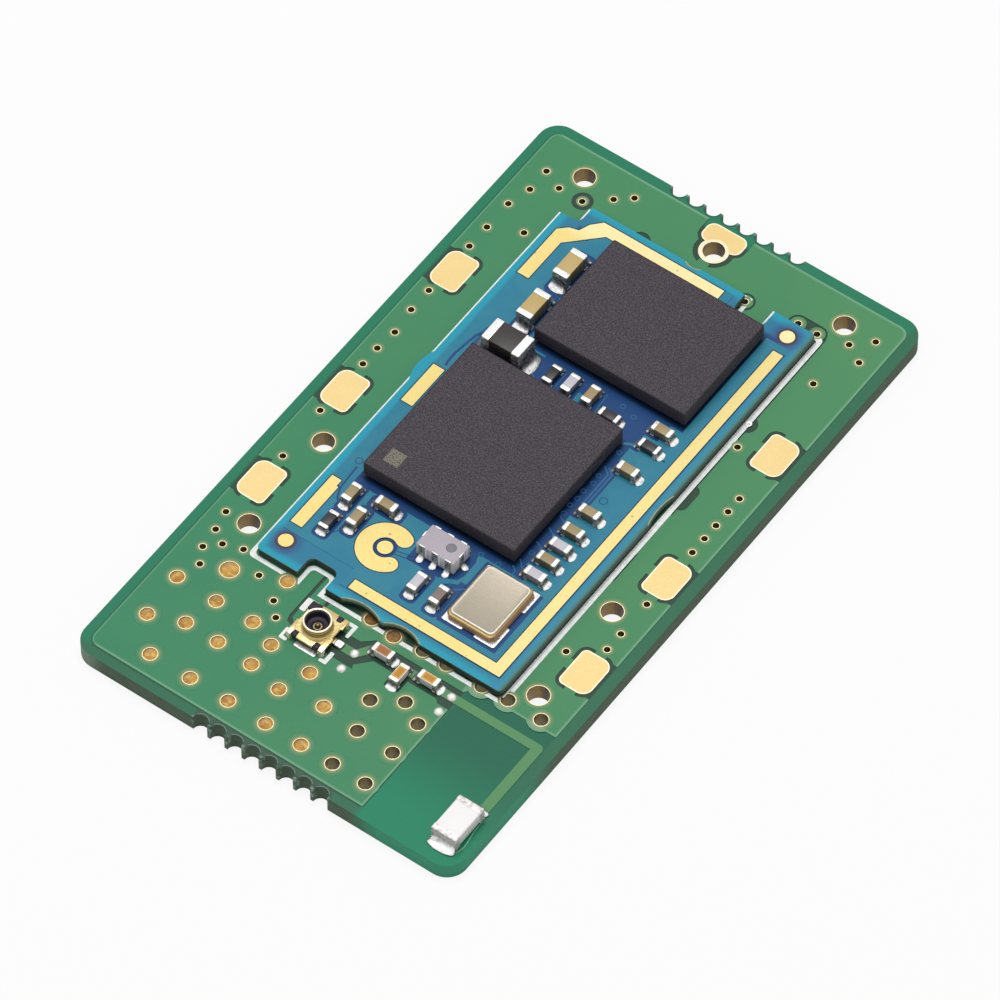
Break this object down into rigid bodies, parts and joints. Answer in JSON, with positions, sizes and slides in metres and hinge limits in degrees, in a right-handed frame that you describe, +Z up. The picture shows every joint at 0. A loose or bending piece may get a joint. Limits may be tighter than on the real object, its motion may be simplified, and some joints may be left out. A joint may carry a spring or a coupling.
{
  "type": "short-range radio module",
  "caption": "Flat radio board: a blue module with bare gold shield lands and surface-mounted chips, soldered on a green carrier with plated holes, a coaxial connector and a chip aerial.",
  "frame": {"origin": "middle of the carrier board's underside", "axes": "+Z up through the chips; +Y along the long side, from the aerial to the memory chip; +X across, towards the aerial's side"},
  "size_m": [0.02, 0.035, 0.0026],
  "materials": {
    "carrier_mask": "satin lacquer on glass-epoxy laminate",
    "copper_under_mask": "satin green lacquer over copper",
    "line_under_mask": "satin green lacquer over a copper line",
    "pale_gold": "matte immersion gold",
    "hole_plating": "bright plated rims and walls",
    "via_fill": "amber hole filling",
    "white_print": "matte printed ink",
    "solder": "bright reflowed tin",
    "module_mask": "satin blue lacquer on laminate",
    "module_copper_mask": "satin blue lacquer over copper",
    "mould_compound": "fine grained moulded epoxy",
    "brown_ceramic": "matte fired ceramic",
    "gold_ring": "bright plated",
    "lid_metal": "satin plated lid",
    "lilac_ceramic": "fine matte ceramic",
    "tin_plating": "satin tin",
    "connector_gold": "satin gold plating",
    "black_plastic": "matte moulded",
    "white_ceramic": "fine matte ceramic",
    "tan_ceramic": "satin fired ceramic",
    "bulk_ceramic": "satin fired ceramic",
    "resistor_glaze": "gloss black glaze",
    "amber_ceramic": "satin ceramic"
  },
  "bodies": {
    "root": {"antenna_chip": "white_ceramic", "antenna_chip_terminals": "tin_plating", "antenna_inductor_1": "amber_ceramic", "antenna_inductor_2": "amber_ceramic", "antenna_inductor_3": "amber_ceramic", "antenna_line": "line_under_mask", "bulk_capacitor": "bulk_ceramic", "bypass_capacitor_1": "tan_ceramic", "bypass_capacitor_2": "tan_ceramic", "bypass_capacitor_3": "tan_ceramic", "bypass_capacitor_4": "tan_ceramic", "bypass_capacitor_5": "tan_ceramic", "bypass_capacitor_6": "tan_ceramic", "bypass_capacitor_7": "tan_ceramic", "bypass_capacitor_8": "tan_ceramic", "bypass_capacitor_9": "tan_ceramic", "carrier_board": "carrier_mask", "carrier_chip_terminals": "tin_plating", "carrier_solder": "solder", "connector_contact": "connector_gold", "connector_insulator": "black_plastic", "connector_shell": "connector_gold", "crystal_base": "brown_ceramic", "crystal_lid": "lid_metal", "crystal_seal_ring": "gold_ring", "fiducials": "pale_gold", "filter_body": "lilac_ceramic", "filter_terminals": "tin_plating", "ground_copper": "copper_under_mask", "ground_via_plating": "hole_plating", "ground_via_plugs": "via_fill", "load_capacitor": "brown_ceramic", "memory_chip": "mould_compound", "memory_chip_balls": "solder", "module_board": "module_mask", "module_chip_terminals": "tin_plating", "module_copper": "module_copper_mask", "module_joints": "solder", "module_solder": "solder", "pin_hole_plating": "hole_plating", "probe_land": "pale_gold", "pullup_resistor_1": "resistor_glaze", "pullup_resistor_2": "resistor_glaze", "pullup_resistor_3": "resistor_glaze", "pullup_resistor_4": "resistor_glaze", "radio_chip": "mould_compound", "radio_chip_balls": "solder", "shield_lands": "pale_gold", "signal_via_plating": "hole_plating", "spare_pad_solder": "solder", "supply_capacitor_1": "tan_ceramic", "supply_capacitor_2": "tan_ceramic", "test_pads": "pale_gold", "tuning_inductor_1": "lilac_ceramic", "tuning_inductor_2": "lilac_ceramic", "tuning_inductor_3": "lilac_ceramic", "tuning_inductor_4": "lilac_ceramic", "white_legend": "white_print"}
  },
  "joints": []
}
